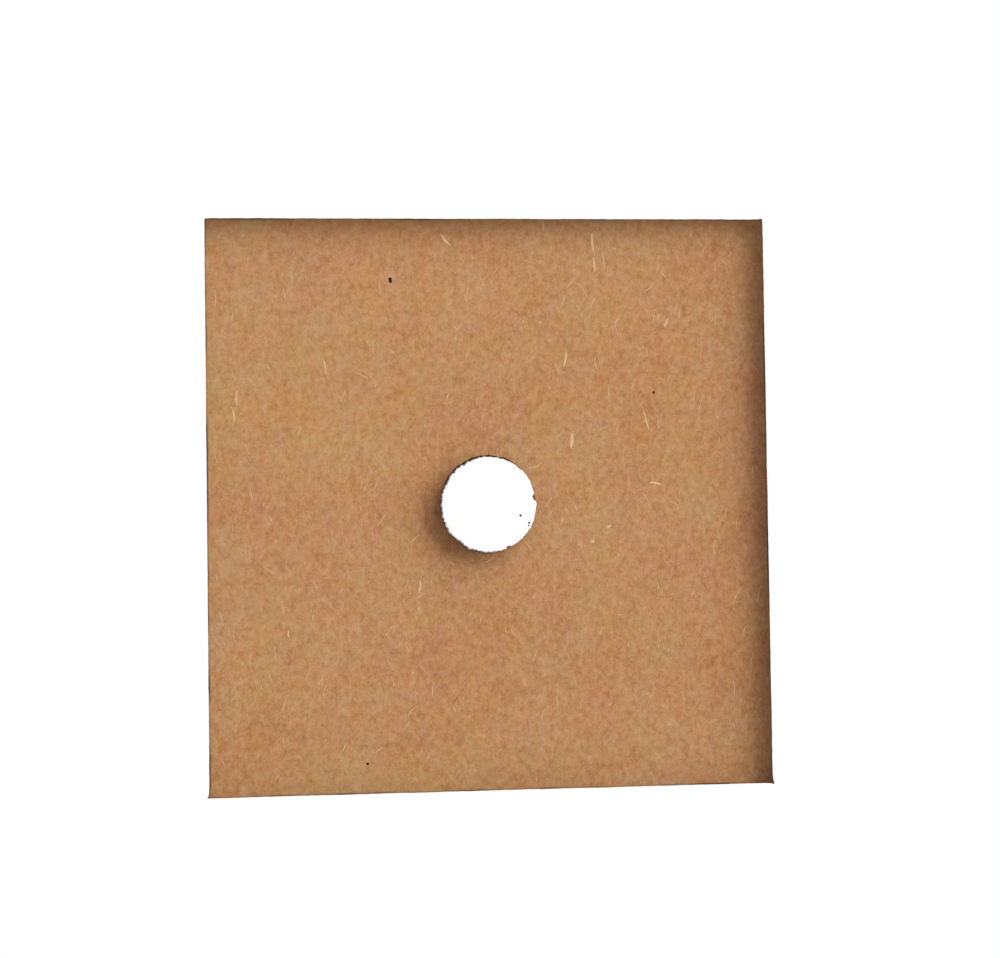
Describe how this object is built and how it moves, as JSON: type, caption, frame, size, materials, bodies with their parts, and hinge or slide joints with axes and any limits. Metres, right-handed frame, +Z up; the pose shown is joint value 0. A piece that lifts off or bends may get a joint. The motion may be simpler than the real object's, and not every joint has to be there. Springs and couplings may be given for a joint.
{
  "type": "game spinner",
  "caption": "Nearly square chipboard card spinner with a numbered dial, a balanced arrow that spins on a pin, and a round base proud of the card's back.",
  "frame": {"origin": "centre of the base's flat underside, on the arrow's axis, where the spinner stands", "axes": "+Z up along the arrow's axis, dial facing up; +Y along the resting arrow, square to the card's edges; the card's centre lies at x -0.70 mm, y +0.28 mm"},
  "size_m": [0.1, 0.1016, 0.0131],
  "materials": {
    "chipboard": "matte",
    "printed_paper": "satin",
    "white_plastic": "satin",
    "arrow_plastic": "satin",
    "nylon": "satin"
  },
  "bodies": {
    "card_body": {"chipboard_card": "chipboard", "dial_sheet": "printed_paper", "pivot_base": "white_plastic", "lock_collar": "white_plastic", "cap_pin": "white_plastic"},
    "arrow_body": {"arrow": "arrow_plastic"},
    "lower_washer_body": {"lower_washer": "nylon"},
    "upper_washer_body": {"upper_washer": "nylon"}
  },
  "joints": [
    {"name": "arrow_spin", "type": "hinge", "parent": "card_body", "child": "arrow_body", "pos_m": [0, 0, 0.00855], "axis": [0, 0, 1], "continuous": true},
    {"name": "lower_washer_spin", "type": "hinge", "parent": "card_body", "child": "lower_washer_body", "pos_m": [0, 0, 0.0066], "axis": [0, 0, 1], "continuous": true},
    {"name": "upper_washer_spin", "type": "hinge", "parent": "card_body", "child": "upper_washer_body", "pos_m": [0, 0, 0.0105], "axis": [0, 0, 1], "continuous": true}
  ]
}
